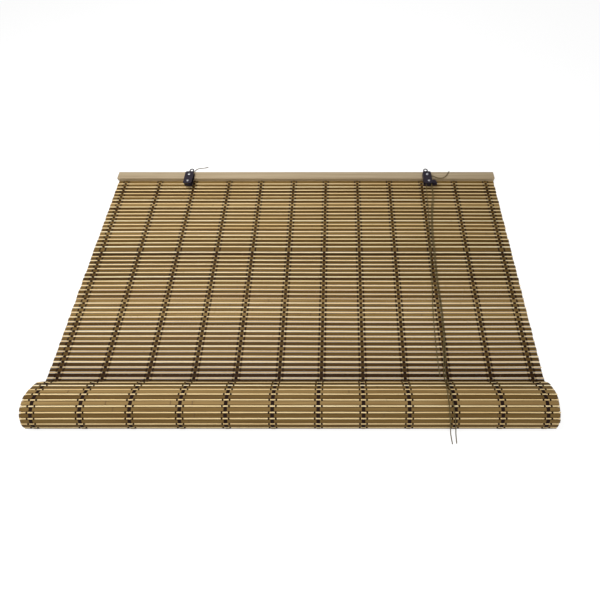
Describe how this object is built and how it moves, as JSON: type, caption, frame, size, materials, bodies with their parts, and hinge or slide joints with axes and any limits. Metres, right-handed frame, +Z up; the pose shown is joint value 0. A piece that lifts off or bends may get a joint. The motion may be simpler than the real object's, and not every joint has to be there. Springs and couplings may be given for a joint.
{
  "type": "bamboo roll up blind",
  "caption": "Woven bamboo roll-up blind, lower part rolled up, with wooden headrail, pulley, cord lock and pull cords.",
  "frame": {"origin": "bottom centre of the blind's box without its cords, on the surface it lies on", "axes": "+X along the slats, +Y from the roll to the headrail, +Z up, out of the sheet's front face"},
  "size_m": [0.9024, 0.6465, 0.0403],
  "materials": {
    "pale_wood": "planed, unfinished",
    "slat_wood": "stained bamboo, satin",
    "stick_wood": "raw bamboo",
    "brown_thread": "spun thread",
    "olive_cord": "braided cord",
    "black_steel": "black lacquer",
    "bright_steel": "zinc plated",
    "staple_steel": "zinc plated",
    "black_nylon": "moulded"
  },
  "bodies": {
    "blind": {"headrail": "pale_wood", "headrail_staples": "staple_steel", "panel_slats": "slat_wood", "panel_sticks": "stick_wood", "slat_roll": "slat_wood", "bottom_rail": "pale_wood", "left_bracket": "black_steel", "left_screw": "bright_steel", "left_spacer": "bright_steel", "left_wheel_pin": "bright_steel", "right_bracket": "black_steel", "right_screw": "bright_steel", "right_spacer": "bright_steel", "right_wheel_pin": "bright_steel", "lock_cam_pin": "black_steel", "lift_cord": "olive_cord", "pull_cord": "olive_cord", "left_tail_cord": "olive_cord", "right_tail_cord": "olive_cord", "warp_column_01": "brown_thread", "warp_column_02": "brown_thread", "warp_column_03": "brown_thread", "warp_column_04": "brown_thread", "warp_column_05": "brown_thread", "warp_column_06": "brown_thread", "warp_column_07": "brown_thread", "warp_column_08": "brown_thread", "warp_column_09": "brown_thread", "warp_column_10": "brown_thread", "warp_column_11": "brown_thread", "warp_column_12": "brown_thread"},
    "left_wheel": {"left_wheel": "black_nylon"},
    "right_wheel": {"right_wheel": "black_nylon"},
    "lock_cam": {"lock_cam": "black_steel"}
  },
  "joints": [
    {"name": "left_wheel_spin", "type": "hinge", "parent": "blind", "child": "left_wheel", "pos_m": [-0.27475, 0.25549, 0.0165], "axis": [0, 0, 1], "continuous": true},
    {"name": "right_wheel_spin", "type": "hinge", "parent": "blind", "child": "right_wheel", "pos_m": [0.29095, 0.25549, 0.0165], "axis": [0, 0, 1], "continuous": true},
    {"name": "lock_cam_swing", "type": "hinge", "parent": "blind", "child": "lock_cam", "pos_m": [0.30335, 0.25549, 0.0163], "axis": [0, 0, 1], "range_deg": [-15, 45]}
  ]
}
